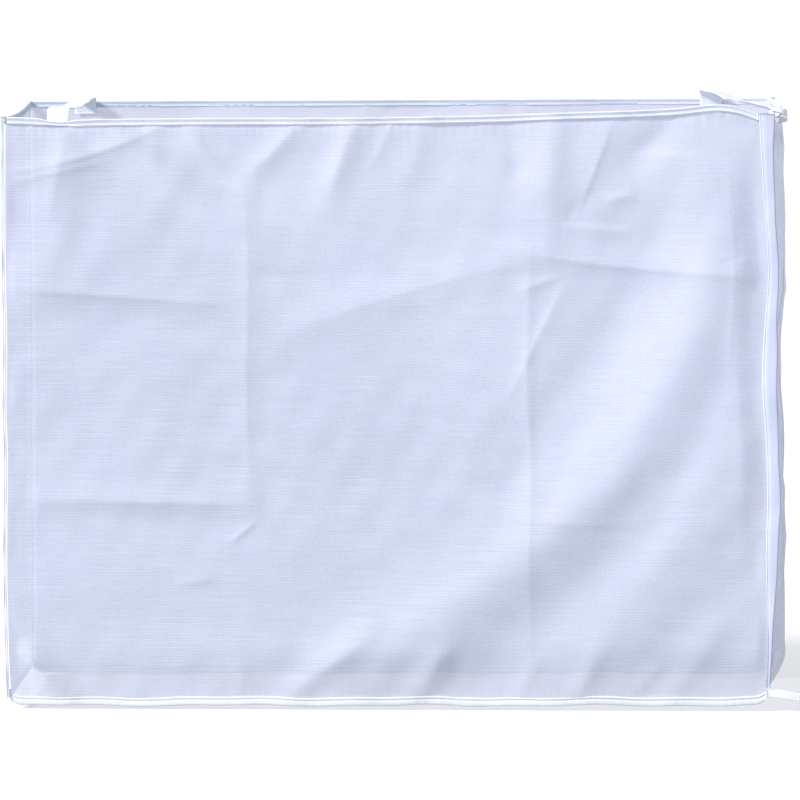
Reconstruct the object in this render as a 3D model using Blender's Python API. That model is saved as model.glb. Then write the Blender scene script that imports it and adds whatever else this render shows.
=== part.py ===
"""A sheer fitted cover for an outdoor air conditioning unit, as it hangs: four mesh panels sewn
into an open box, tape bindings round the top and the bottom, bound corner seams, two webbing
straps over the open top and the free ribbon end of a drawstring.

Metres, +Z up. The front faces -Y. The origin is the middle of the top, level with the undersides
of the straps, and the cover hangs down from there."""

import math
from collections import namedtuple

import bmesh
import bpy
from mathutils import Quaternion, Vector

# Driving sizes of the cover
WIDTH = 0.855
DEPTH = 0.320
HEIGHT = 0.665
CLOTH = 0.0015
GAP = 0.0003

# Tape round the openings and over the corner seams
TOP_BAND = 0.0080
TOP_BAND_THICK = 0.0030
BOTTOM_BAND = 0.0100
BOTTOM_BAND_THICK = 0.0032
BAND_ROUNDING = 0.35
TAPE_THICK = 0.0020

# Webbing straps and the ribbon tie
STRAP_THICK = 0.0016
TIE_THICK = 0.0014

# Steps of the meshes
FRONT_COLUMNS, FRONT_ROWS = 38, 30
BACK_COLUMNS, BACK_ROWS = 16, 12
SIDE_COLUMNS, SIDE_ROWS = 10, 24
TAPE_ROWS = 24
STRAP_STEPS = 3

# The last stretch of the front where folds fade into the corner seams
EDGE_FADE = 0.030
# How far the bottom of the cloth is drawn in by its drawstring, and over what height
DRAWN_IN = 0.007
DRAWN_HEIGHT = 0.070
# How far the rounded bottom corners rise, and over what width
CORNER_RISE = 0.005
CORNER_REACH = 0.012
# How much lower the left end of a wide hem hangs than the right one, about a level place
HEM_TILT = 0.0030
HEM_LEVEL_AT = 0.90

# Places on the front are metres across from its left seam and down from the top.
# A fold is a ridge that stands out towards -Y by height, along a curve from start to end that
# leans towards bend. The upper or left flank spans wide, the other flank spans steep. A height
# under 0 makes a trough.
Fold = namedtuple("Fold", "name start bend end height wide steep")
FRONT_FOLDS = (
    Fold("corner ridge", (0.003, 0.071), (0.095, 0.050), (0.178, 0.011), 0.0015, 0.014, 0.014),
    Fold("strap drag", (0.082, 0.000), (0.068, 0.090), (0.050, 0.165), 0.003, 0.026, 0.020),
    Fold("left diagonal", (0.235, 0.000), (0.190, 0.090), (0.095, 0.165), 0.002, 0.034, 0.026),
    Fold("hem fold one", (0.342, 0.000), (0.320, 0.030), (0.272, 0.072), 0.002, 0.018, 0.018),
    Fold("hem fold two", (0.402, 0.000), (0.386, 0.040), (0.364, 0.100), 0.003, 0.022, 0.020),
    Fold("hem fold three", (0.480, 0.000), (0.470, 0.030), (0.450, 0.070), 0.002, 0.018, 0.014),
    Fold("hem fold four", (0.624, 0.000), (0.618, 0.060), (0.606, 0.125), 0.005, 0.026, 0.020),
    Fold("upper left press", (0.000, 0.193), (0.110, 0.197), (0.275, 0.216), 0.003, 0.040, 0.018),
    Fold("left press", (0.271, 0.080), (0.273, 0.260), (0.271, 0.445), 0.001, 0.022, 0.014),
    Fold("lower left press", (0.040, 0.432), (0.160, 0.436), (0.276, 0.437), 0.003, 0.020, 0.014),
    Fold("middle ridge", (0.600, 0.160), (0.500, 0.175), (0.315, 0.245), 0.003, 0.026, 0.024),
    Fold("right press", (0.587, 0.156), (0.592, 0.330), (0.589, 0.580), 0.001, 0.024, 0.014),
    Fold("upper right press", (0.586, 0.154), (0.690, 0.172), (0.830, 0.181), 0.003, 0.024, 0.016),
    Fold("sharp diagonal", (0.690, 0.000), (0.668, 0.060), (0.638, 0.122), 0.005, 0.050, 0.034),
    Fold("crumple", (0.676, 0.112), (0.722, 0.078), (0.765, 0.034), 0.003, 0.022, 0.030),
    Fold("hollow", (0.735, 0.150), (0.685, 0.260), (0.570, 0.400), -0.004, 0.034, 0.034),
    Fold("great ridge", (0.800, 0.090), (0.815, 0.395), (0.395, 0.625), 0.013, 0.044, 0.044),
    Fold("second ridge", (0.842, 0.290), (0.782, 0.510), (0.620, 0.640), 0.008, 0.042, 0.056),
    Fold("low fold one", (0.404, 0.585), (0.366, 0.618), (0.320, 0.655), 0.004, 0.020, 0.016),
    Fold("low fold two", (0.500, 0.600), (0.478, 0.625), (0.452, 0.658), 0.003, 0.018, 0.014),
    Fold("low fold three", (0.800, 0.575), (0.775, 0.615), (0.745, 0.658), 0.003, 0.020, 0.016),
    Fold("low left fold", (0.010, 0.595), (0.030, 0.625), (0.062, 0.655), 0.006, 0.018, 0.014),
)
FOLD_POINTS = 14

# The back hangs slack between its seams, in soft upright folds.
BACK_FOLDS = (
    Fold("back fold one", (0.200, 0.000), (0.180, 0.300), (0.230, 0.650), 0.006, 0.050, 0.040),
    Fold("back fold two", (0.450, 0.000), (0.480, 0.350), (0.430, 0.650), 0.007, 0.060, 0.045),
    Fold("back fold three", (0.670, 0.000), (0.690, 0.300), (0.640, 0.650), 0.006, 0.050, 0.040),
)

# Short tables of a height along an edge or a width down a seam, joined by a smooth curve
Stop = namedtuple("Stop", "at value")
TOP_EDGE_FRONT = (
    Stop(0.000, -0.0006),
    Stop(0.035, -0.0020),
    Stop(0.060, -0.0044),
    Stop(0.105, -0.0030),
    Stop(0.220, -0.0019),
    Stop(0.390, -0.0013),
    Stop(0.500, 0.0004),
    Stop(0.560, 0.0016),
    Stop(0.630, 0.0046),
    Stop(0.716, 0.0072),
    Stop(0.765, 0.0098),
    Stop(0.806, 0.0138),
    Stop(0.829, 0.0118),
    Stop(0.855, 0.0036),
)
LEFT_SEAM = (
    Stop(0.000, -0.0004),
    Stop(0.150, -0.0010),
    Stop(0.260, 0.0000),
    Stop(0.330, -0.0010),
    Stop(0.385, 0.0002),
    Stop(0.500, -0.0012),
    Stop(0.600, 0.0000),
    Stop(0.665, 0.0016),
)
RIGHT_SEAM = (
    Stop(0.000, -0.0095),
    Stop(0.060, -0.0058),
    Stop(0.146, 0.0000),
    Stop(0.184, 0.0008),
    Stop(0.271, -0.0052),
    Stop(0.320, -0.0045),
    Stop(0.376, -0.0006),
    Stop(0.433, 0.0004),
    Stop(0.500, -0.0010),
    Stop(0.592, 0.0016),
    Stop(0.665, -0.0006),
)
RIGHT_BULGE = (
    Stop(0.000, 0.0180),
    Stop(0.045, 0.0210),
    Stop(0.075, 0.0188),
    Stop(0.190, 0.0182),
    Stop(0.271, 0.0142),
    Stop(0.376, 0.0176),
    Stop(0.433, 0.0168),
    Stop(0.560, 0.0190),
    Stop(0.625, 0.0185),
    Stop(0.665, 0.0150),
)
LEFT_BULGE = (
    Stop(0.000, 0.000),
    Stop(0.200, -0.006),
    Stop(0.420, -0.003),
    Stop(0.560, -0.007),
    Stop(0.665, 0.000),
)
# How soon a side panel reaches its full swell behind the seam
SWELL_POWER = 0.6

# Each side's bottom hem: its height over the lowest hem at the corners, and half way back
SideHem = namedtuple("SideHem", "corner middle")
LEFT_HEM = SideHem(0.006, 0.009)
RIGHT_HEM = SideHem(0.020, 0.040)

# Tape widths down the corner seams
PIPING = (Stop(0.000, 0.0042), Stop(0.665, 0.0042))
WIDE_TAPE = (
    Stop(0.000, 0.0190),
    Stop(0.055, 0.0143),
    Stop(0.150, 0.0125),
    Stop(0.229, 0.0145),
    Stop(0.275, 0.0185),
    Stop(0.376, 0.0150),
    Stop(0.433, 0.0162),
    Stop(0.500, 0.0143),
    Stop(0.550, 0.0095),
    Stop(0.595, 0.0050),
    Stop(0.645, 0.0036),
)
BACK_TAPE = (Stop(0.000, 0.0080), Stop(0.665, 0.0080))
# Each corner seam: its corner, the height of its low end over the lowest hem, the way its tape
# points out, how far out the tape starts, and its widths
Corner = namedtuple("Corner", "name x_side y_side low_end out_angle start widths")
CORNERS = (
    Corner("seam_front_left", -1, -1, 0.006, math.radians(172), 0.0013, PIPING),
    Corner("seam_front_right", 1, -1, 0.021, math.radians(-22), 0.0005, WIDE_TAPE),
    Corner("seam_back_right", 1, 1, 0.006, math.radians(45), 0.0013, BACK_TAPE),
    Corner("seam_back_left", -1, 1, 0.006, math.radians(135), 0.0013, BACK_TAPE),
)

# The middle line of a strap, its width, and how far it rolls about that line
Station = namedtuple("Station", "x y z width roll")
LEFT_STRAP_X = -WIDTH / 2 + 0.059
LEFT_STRAP_BACK_X = LEFT_STRAP_X + 0.005
RIGHT_STRAP_X = WIDTH / 2 - 0.0665
STRAP_WIDTH = 0.025
# Where the ends of a strap are sewn, flat against the inside of a wide panel's top tape
STRAP_IN = DEPTH / 2 - TOP_BAND_THICK / 2 - GAP - STRAP_THICK / 2
LEFT_STRAP = (
    Station(LEFT_STRAP_X, -STRAP_IN, -0.0150, STRAP_WIDTH, 0.0),
    Station(LEFT_STRAP_X, -STRAP_IN, -0.0060, STRAP_WIDTH, 0.0),
    Station(LEFT_STRAP_X, -STRAP_IN + 0.0035, 0.0040, STRAP_WIDTH, 0.0),
    Station(LEFT_STRAP_X, -0.1400, 0.0078, STRAP_WIDTH, 0.0),
    Station(LEFT_STRAP_X + 0.001, -0.1050, 0.0066, STRAP_WIDTH, 0.08),
    Station(LEFT_STRAP_X + 0.002, -0.0300, 0.0024, STRAP_WIDTH, 0.0),
    Station(LEFT_STRAP_X + 0.004, 0.0600, 0.0026, STRAP_WIDTH, -0.06),
    Station(LEFT_STRAP_BACK_X, 0.1300, 0.0042, STRAP_WIDTH, 0.0),
    Station(LEFT_STRAP_BACK_X, STRAP_IN - 0.0035, 0.0022, STRAP_WIDTH, 0.0),
    Station(LEFT_STRAP_BACK_X, STRAP_IN, -0.0060, STRAP_WIDTH, 0.0),
    Station(LEFT_STRAP_BACK_X, STRAP_IN, -0.0150, STRAP_WIDTH, 0.0),
)
RIGHT_STRAP = (
    Station(0.4375, -0.1345, 0.0035, 0.010, 0.90),
    Station(0.4290, -0.1060, 0.0072, 0.015, 0.60),
    Station(0.4120, -0.0580, 0.0082, 0.021, 0.34),
    Station(0.3930, 0.0200, 0.0080, STRAP_WIDTH, 0.22),
    Station(0.3740, 0.0950, 0.0112, STRAP_WIDTH, 0.20),
    Station(RIGHT_STRAP_X, 0.1380, 0.0120, STRAP_WIDTH, 0.12),
    Station(RIGHT_STRAP_X, STRAP_IN - 0.0030, 0.0070, STRAP_WIDTH, 0.0),
    Station(RIGHT_STRAP_X, STRAP_IN, -0.0050, STRAP_WIDTH, 0.0),
    Station(RIGHT_STRAP_X, STRAP_IN, -0.0150, STRAP_WIDTH, 0.0),
)
TIE = (
    Station(0.4290, -0.1534, -0.6510, 0.0086, 0.0),
    Station(0.4390, -0.1550, -0.6508, 0.0090, 0.0),
    Station(0.4520, -0.1585, -0.6522, 0.0090, 0.10),
    Station(0.4642, -0.1600, -0.6545, 0.0090, 0.15),
)

# The gathered end of the right strap, a lump about its middle
KNOT_AT = (0.4400, -0.1440, 0.0000)
KNOT_RADII = (0.0115, 0.0085, 0.0095)
KNOT_RIPPLE = 0.16

COLOURS = {
    "mesh": (0.78, 0.80, 0.90, 1.0),
    "binding": (0.90, 0.93, 0.98, 1.0),
    "webbing": (0.88, 0.91, 0.95, 1.0),
}
ROUGHNESS = {"mesh": 0.75, "binding": 0.70, "webbing": 0.65}


def clear_scene():
    for old in list(bpy.data.objects):
        bpy.data.objects.remove(old, do_unlink=True)


def smooth_step(share):
    share = min(max(share, 0.0), 1.0)
    return share * share * (3 - 2 * share)


def along(stops, at):
    """The value of a table at a place, on a smooth curve through its rows."""
    last = len(stops) - 1
    at = min(max(at, stops[0].at), stops[last].at)
    row = max(k for k in range(last) if stops[k].at <= at)
    before, low, high, after = [stops[min(max(row + k, 0), last)] for k in (-1, 0, 1, 2)]
    span = high.at - low.at
    t = (at - low.at) / span
    slope_low = (high.value - before.value) / (high.at - before.at)
    slope_high = (after.value - low.value) / (after.at - low.at)
    bend = (t - 2 * t**2 + t**3) * slope_low + (t**3 - t**2) * slope_high
    return low.value + (high.value - low.value) * smooth_step(t) + bend * span


def curve_points(fold):
    """The points of a fold's line, a curve that leans towards its bend."""
    points = []
    for step in range(FOLD_POINTS + 1):
        t = step / FOLD_POINTS
        weights = ((1 - t) ** 2, 2 * t * (1 - t), t * t)
        ends = (fold.start, fold.bend, fold.end)
        points.append(tuple(sum(w * p[k] for w, p in zip(weights, ends)) for k in (0, 1)))
    return points


def fold_height(fold, points, across, down):
    """How far one fold stands out at a place, fading towards the fold's two ends."""
    best = None
    for index, (a, b) in enumerate(zip(points, points[1:])):
        run = (b[0] - a[0], b[1] - a[1])
        length = math.hypot(*run)
        reach = ((across - a[0]) * run[0] + (down - a[1]) * run[1]) / length**2
        share = min(max(reach, 0.0), 1.0)
        off = (across - a[0] - share * run[0], down - a[1] - share * run[1])
        distance = math.hypot(*off)
        if best is None or distance < best[0]:
            side = (run[1] * off[0] - run[0] * off[1]) / length
            upper = side if run[0] > 0 else -side
            best = (distance, upper, (index + share) / (len(points) - 1))
    distance, upper, place = best
    lean = upper / distance if distance > 0 else 0.0
    width = fold.steep + (fold.wide - fold.steep) * (0.5 + 0.5 * lean)
    fade = math.sin(math.pi * (0.12 + 0.76 * place)) ** 0.7
    return fold.height * fade * math.exp(-((distance / width) ** 2))


FRONT_LINES = [(fold, curve_points(fold)) for fold in FRONT_FOLDS]
BACK_LINES = [(fold, curve_points(fold)) for fold in BACK_FOLDS]


def relief(lines, across, down):
    """How far a panel stands out from its flat plane, nothing at the corner seams."""
    edge = min(across, WIDTH - across)
    total = sum(fold_height(fold, points, across, down) for fold, points in lines)
    return total * smooth_step(edge / EDGE_FADE)


def drawn_in(down):
    """How far the cloth is pulled in near the bottom by the drawstring."""
    return DRAWN_IN * smooth_step((down - HEIGHT + DRAWN_HEIGHT) / DRAWN_HEIGHT)


def seam_x(x_side, down, front):
    """Where a corner seam runs, from side to side."""
    if not front:
        return x_side * WIDTH / 2
    table = LEFT_SEAM if x_side < 0 else RIGHT_SEAM
    return x_side * WIDTH / 2 + along(table, down)


def seam_y(y_side, down):
    return y_side * (DEPTH / 2 - drawn_in(down))


def top_edge(across, front):
    """The height of the top edge of a wide panel's binding."""
    if front:
        return along(TOP_EDGE_FRONT, across)
    share = across / WIDTH
    return TOP_EDGE_FRONT[0].value + (TOP_EDGE_FRONT[-1].value - TOP_EDGE_FRONT[0].value) * share


def bottom_edge(across):
    """The height of the bottom edge of a wide panel's binding, with its small waves."""
    wave = 0.0008 * math.sin(across * 31.0) + 0.0006 * math.sin(across * 67.0 + 1.0)
    edge = min(across, WIDTH - across)
    rise = CORNER_RISE * (1 - min(edge / CORNER_REACH, 1.0)) ** 2
    tilt = HEM_TILT * (across / WIDTH - HEM_LEVEL_AT)
    return -HEIGHT + wave + rise + tilt


def wide_point(front, share_across, height):
    """A point on the front or the back panel at a height."""
    down = -height
    across = share_across * WIDTH
    left = seam_x(-1, down, front) + GAP
    right = seam_x(1, down, front) - GAP
    x = left + (right - left) * share_across
    lines = FRONT_LINES if front else BACK_LINES
    out = relief(lines, across, down)
    y_side = -1 if front else 1
    y = seam_y(y_side, down) + y_side * out
    return (x, y, height)


def side_point(x_side, share_back, height):
    """A point on a side panel, which stands out between its two seams."""
    down = -height
    table = LEFT_BULGE if x_side < 0 else RIGHT_BULGE
    clear = BOTTOM_BAND_THICK / 2 + GAP
    front_y = seam_y(-1, down) + clear
    back_y = seam_y(1, down) - clear
    front_x = seam_x(x_side, down, True)
    back_x = seam_x(x_side, down, False)
    swell = along(table, down) * abs(math.sin(math.pi * share_back)) ** SWELL_POWER
    x = front_x + (back_x - front_x) * share_back + x_side * swell
    return (x, front_y + (back_y - front_y) * share_back, height)


def side_top(x_side, share_back):
    """The height of a side panel's top edge, from the front corner to the back one."""
    front = top_edge(0.0 if x_side < 0 else WIDTH, True)
    back = top_edge(0.0 if x_side < 0 else WIDTH, False)
    sag = -0.004 * math.sin(math.pi * share_back)
    return front + (back - front) * share_back + sag


def side_bottom(x_side, share_back):
    """The height of a side panel's bottom edge, hitched up between its corners."""
    hem = LEFT_HEM if x_side < 0 else RIGHT_HEM
    lift = abs(math.sin(math.pi * share_back)) ** SWELL_POWER
    return -HEIGHT + hem.corner + (hem.middle - hem.corner) * lift


def material(name):
    found = bpy.data.materials.get(name)
    if found:
        return found
    made = bpy.data.materials.new(name)
    made.use_nodes = True
    shader = made.node_tree.nodes["Principled BSDF"]
    shader.inputs["Base Color"].default_value = COLOURS[name]
    shader.inputs["Roughness"].default_value = ROUGHNESS[name]
    shader.inputs["Metallic"].default_value = 0.0
    return made


def add_object(name, bm, slot):
    bmesh.ops.recalc_face_normals(bm, faces=bm.faces)
    mesh = bpy.data.meshes.new(name)
    bm.to_mesh(mesh)
    bm.free()
    mesh.shade_smooth()
    mesh.set_sharp_from_angle(angle=math.radians(50))
    mesh.materials.append(material(slot))
    obj = bpy.data.objects.new(name, mesh)
    bpy.context.scene.collection.objects.link(obj)
    return obj


def cloth_sheet(name, point, bottom, top, columns, rows, thick_axis):
    """A closed sheet between two edges: a grid of the cloth's outer face, pushed through."""
    bm = bmesh.new()
    grid = []
    for i in range(columns + 1):
        share = i / columns
        low, high = bottom(share), top(share)
        heights = (low + (high - low) * j / rows for j in range(rows + 1))
        grid.append([bm.verts.new(point(share, height)) for height in heights])
    for left, right in zip(grid, grid[1:]):
        for j in range(rows):
            bm.faces.new((left[j], right[j], right[j + 1], left[j + 1]))
    half = [CLOTH / 2 * part for part in thick_axis]
    bmesh.ops.translate(bm, vec=half, verts=bm.verts)
    far = bmesh.ops.extrude_face_region(bm, geom=bm.faces[:])
    moved = [item for item in far["geom"] if isinstance(item, bmesh.types.BMVert)]
    bmesh.ops.translate(bm, vec=[-2 * part for part in half], verts=moved)
    return add_object(name, bm, "mesh")


def bar(name, rings, slot):
    """A closed bar through a row of rings of corners."""
    bm = bmesh.new()
    loops = [[bm.verts.new(corner) for corner in ring] for ring in rings]
    count = len(loops[0])
    for near, far in zip(loops, loops[1:]):
        for k in range(count):
            after = (k + 1) % count
            bm.faces.new((near[k], near[after], far[after], far[k]))
    bm.faces.new(loops[0])
    bm.faces.new(loops[-1])
    return add_object(name, bm, slot)


def band(name, point, bottom, tall, columns, outward, thick):
    """A tape casing on edge along a panel: flat faces with a rounded top and bottom."""
    rounding = thick * BAND_ROUNDING
    rings = []
    for i in range(columns + 1):
        share = i / columns
        low = bottom(share)
        ring = []
        for side, height in (
            (0.5, low + rounding),
            (0.5, low + tall - rounding),
            (0.0, low + tall),
            (-0.5, low + tall - rounding),
            (-0.5, low + rounding),
            (0.0, low),
        ):
            x, y, _ = point(share, height)
            ring.append((x + outward[0] * side * thick, y + outward[1] * side * thick, height))
        rings.append(ring)
    bar(name, rings, "binding")


def bound_panel(word, point, top, bottom, columns, rows, outward):
    """One mesh panel between its top and its bottom tape."""
    cloth_sheet(
        f"panel_{word}",
        point,
        lambda share: bottom(share) + BOTTOM_BAND + GAP,
        lambda share: top(share) - TOP_BAND - GAP,
        columns,
        rows,
        outward,
    )

    def top_band(share):
        return top(share) - TOP_BAND

    band(f"top_binding_{word}", point, top_band, TOP_BAND, columns, outward, TOP_BAND_THICK)
    band(f"bottom_binding_{word}", point, bottom, BOTTOM_BAND, columns, outward, BOTTOM_BAND_THICK)


def wide_panel(front):
    """The front or the back panel with its two bindings."""

    def point(share, height):
        return wide_point(front, share, height)

    def top(share):
        return top_edge(share * WIDTH, front)

    def bottom(share):
        return bottom_edge(share * WIDTH)

    if front:
        bound_panel("front", point, top, bottom, FRONT_COLUMNS, FRONT_ROWS, (0, 1, 0))
    else:
        bound_panel("back", point, top, bottom, BACK_COLUMNS, BACK_ROWS, (0, 1, 0))


def side_panel(x_side):
    """A side panel with its two bindings, set in from the wide ones."""

    def point(share, height):
        return side_point(x_side, share, height)

    def top(share):
        return side_top(x_side, share)

    def bottom(share):
        return side_bottom(x_side, share)

    word = "left" if x_side < 0 else "right"
    bound_panel(word, point, top, bottom, SIDE_COLUMNS, SIDE_ROWS, (1, 0, 0))


def corner_tape(corner):
    """The tape over one upright seam, pointing out from the corner. The wide one ends lower."""
    out = (math.cos(corner.out_angle), math.sin(corner.out_angle))
    across = (-out[1], out[0])
    front = corner.y_side < 0
    top = top_edge(0.0 if corner.x_side < 0 else WIDTH, front)
    if corner.widths is WIDE_TAPE:
        top -= TOP_BAND
    low = -HEIGHT + corner.low_end
    rings = []
    for i in range(TAPE_ROWS + 1):
        height = low + (top - low) * i / TAPE_ROWS
        x = seam_x(corner.x_side, -height, front)
        y = seam_y(corner.y_side, -height)
        end = corner.start + along(corner.widths, -height)
        ring = []
        for reach, side in ((corner.start, -0.5), (end, -0.5), (end, 0.5), (corner.start, 0.5)):
            shift = side * TAPE_THICK
            px = x + out[0] * reach + across[0] * shift
            py = y + out[1] * reach + across[1] * shift
            ring.append((px, py, height))
        rings.append(ring)
    bar(corner.name, rings, "binding")


def smooth_line(stations):
    """Stations along a smooth curve through a table of them."""
    line = []
    last = len(stations) - 1
    for index in range(last):
        near = [stations[min(max(index + k, 0), last)] for k in (-1, 0, 1, 2)]
        for step in range(STRAP_STEPS):
            t = step / STRAP_STEPS
            weights = (
                (-t + 2 * t * t - t**3) / 2,
                (2 - 5 * t * t + 3 * t**3) / 2,
                (t + 4 * t * t - 3 * t**3) / 2,
                (t**3 - t * t) / 2,
            )
            line.append(Station(*(sum(w * v for w, v in zip(weights, c)) for c in zip(*near))))
    line.append(stations[-1])
    return line


def ribbon(name, stations, thick, level, slot):
    """A flat strap along a smooth line, its width lying along level but for its roll."""
    line = smooth_line(stations)
    rings = []
    for index, at in enumerate(line):
        before = Vector(line[max(index - 1, 0)][:3])
        after = Vector(line[min(index + 1, len(line) - 1)][:3])
        ahead = (after - before).normalized()
        across = (Vector(level) - Vector(level).project(ahead)).normalized()
        across.rotate(Quaternion(ahead, at.roll))
        through = ahead.cross(across)
        middle = Vector(at[:3])
        ring = []
        for side, face in ((-0.5, -0.5), (0.5, -0.5), (0.5, 0.5), (-0.5, 0.5)):
            ring.append(middle + across * side * at.width + through * face * thick)
        rings.append(ring)
    bar(name, rings, slot)


def knot():
    """The gathered end of the right strap: a lump with a few soft creases."""
    bm = bmesh.new()
    bmesh.ops.create_icosphere(bm, subdivisions=2, radius=1.0)
    for vertex in bm.verts:
        turn = math.atan2(vertex.co.z, vertex.co.x)
        ripple = 1 - KNOT_RIPPLE * (0.5 + 0.5 * math.cos(4 * turn + 3 * vertex.co.y))
        vertex.co = [c * r * ripple + m for c, r, m in zip(vertex.co, KNOT_RADII, KNOT_AT)]
    add_object("strap_end", bm, "webbing")


def main():
    clear_scene()
    wide_panel(True)
    wide_panel(False)
    side_panel(-1)
    side_panel(1)
    for corner in CORNERS:
        corner_tape(corner)
    ribbon("strap_left", LEFT_STRAP, STRAP_THICK, (1, 0, 0), "webbing")
    ribbon("strap_right", RIGHT_STRAP, STRAP_THICK, (1, 0, 0), "webbing")
    ribbon("tie_end", TIE, TIE_THICK, (0, 0, 1), "binding")
    knot()


main()
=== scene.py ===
"""The looks of a sheer fitted cover for an outdoor air conditioning unit, as it hangs: four mesh
panels with their folds, stitched tape bindings, bound corner seams, webbing straps and a ribbon.

Metres, +Z up. The front faces -Y. Sizes and tables that the model's source has too say so."""

import math
from collections import namedtuple

import bpy
import numpy as np
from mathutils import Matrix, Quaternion, Vector


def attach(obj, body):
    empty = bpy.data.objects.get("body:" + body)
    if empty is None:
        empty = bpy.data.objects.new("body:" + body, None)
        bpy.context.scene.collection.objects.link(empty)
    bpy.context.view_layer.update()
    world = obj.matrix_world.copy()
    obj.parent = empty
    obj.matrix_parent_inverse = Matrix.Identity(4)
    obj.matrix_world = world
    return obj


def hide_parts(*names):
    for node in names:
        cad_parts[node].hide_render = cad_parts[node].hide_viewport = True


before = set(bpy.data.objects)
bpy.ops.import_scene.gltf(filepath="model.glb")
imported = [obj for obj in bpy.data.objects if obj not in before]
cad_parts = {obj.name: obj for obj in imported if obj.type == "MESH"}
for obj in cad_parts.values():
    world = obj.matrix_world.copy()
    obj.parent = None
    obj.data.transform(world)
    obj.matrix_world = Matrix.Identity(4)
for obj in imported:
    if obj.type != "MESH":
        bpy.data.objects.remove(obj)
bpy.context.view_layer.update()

# Driving sizes, as in the source
WIDTH = 0.855
DEPTH = 0.320
HEIGHT = 0.665
GAP = 0.0003
TOP_BAND = 0.0080
TOP_BAND_THICK = 0.0030
BOTTOM_BAND = 0.0100
BOTTOM_BAND_THICK = 0.0032
TAPE_THICK = 0.0020
STRAP_THICK = 0.0016
TIE_THICK = 0.0014
EDGE_FADE = 0.030
DRAWN_IN = 0.007
DRAWN_HEIGHT = 0.070
CORNER_RISE = 0.005
CORNER_REACH = 0.012
HEM_TILT = 0.0030
HEM_LEVEL_AT = 0.90
FOLD_POINTS = 14


def rows_of(kind, *rows):
    """A table whose rows are all of one kind."""
    return tuple(kind(*row) for row in rows)


# The main folds, as in the source: metres across from a panel's left seam and down from the top
Fold = namedtuple("Fold", "name start bend end height wide steep")
FRONT_FOLDS = rows_of(
    Fold,
    ("corner ridge", (0.003, 0.071), (0.095, 0.050), (0.178, 0.011), 0.0015, 0.014, 0.014),
    ("strap drag", (0.082, 0.000), (0.068, 0.090), (0.050, 0.165), 0.003, 0.026, 0.020),
    ("left diagonal", (0.235, 0.000), (0.190, 0.090), (0.095, 0.165), 0.002, 0.034, 0.026),
    ("hem fold one", (0.342, 0.000), (0.320, 0.030), (0.272, 0.072), 0.002, 0.018, 0.018),
    ("hem fold two", (0.402, 0.000), (0.386, 0.040), (0.364, 0.100), 0.003, 0.022, 0.020),
    ("hem fold three", (0.480, 0.000), (0.470, 0.030), (0.450, 0.070), 0.002, 0.018, 0.014),
    ("hem fold four", (0.624, 0.000), (0.618, 0.060), (0.606, 0.125), 0.005, 0.026, 0.020),
    ("upper left press", (0.000, 0.193), (0.110, 0.197), (0.275, 0.216), 0.003, 0.040, 0.018),
    ("left press", (0.271, 0.080), (0.273, 0.260), (0.271, 0.445), 0.001, 0.022, 0.014),
    ("lower left press", (0.040, 0.432), (0.160, 0.436), (0.276, 0.437), 0.003, 0.020, 0.014),
    ("middle ridge", (0.600, 0.160), (0.500, 0.175), (0.315, 0.245), 0.003, 0.026, 0.024),
    ("right press", (0.587, 0.156), (0.592, 0.330), (0.589, 0.580), 0.001, 0.024, 0.014),
    ("upper right press", (0.586, 0.154), (0.690, 0.172), (0.830, 0.181), 0.003, 0.024, 0.016),
    ("sharp diagonal", (0.690, 0.000), (0.668, 0.060), (0.638, 0.122), 0.005, 0.050, 0.034),
    ("crumple", (0.676, 0.112), (0.722, 0.078), (0.765, 0.034), 0.003, 0.022, 0.030),
    ("hollow", (0.735, 0.150), (0.685, 0.260), (0.570, 0.400), -0.004, 0.034, 0.034),
    ("great ridge", (0.800, 0.090), (0.815, 0.395), (0.395, 0.625), 0.013, 0.044, 0.044),
    ("second ridge", (0.842, 0.290), (0.782, 0.510), (0.620, 0.640), 0.008, 0.042, 0.056),
    ("low fold one", (0.404, 0.585), (0.366, 0.618), (0.320, 0.655), 0.004, 0.020, 0.016),
    ("low fold two", (0.500, 0.600), (0.478, 0.625), (0.452, 0.658), 0.003, 0.018, 0.014),
    ("low fold three", (0.800, 0.575), (0.775, 0.615), (0.745, 0.658), 0.003, 0.020, 0.016),
    ("low left fold", (0.010, 0.595), (0.030, 0.625), (0.062, 0.655), 0.006, 0.018, 0.014),
)
BACK_FOLDS = rows_of(
    Fold,
    ("back fold one", (0.200, 0.000), (0.180, 0.300), (0.230, 0.650), 0.006, 0.050, 0.040),
    ("back fold two", (0.450, 0.000), (0.480, 0.350), (0.430, 0.650), 0.007, 0.060, 0.045),
    ("back fold three", (0.670, 0.000), (0.690, 0.300), (0.640, 0.650), 0.006, 0.050, 0.040),
)

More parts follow.
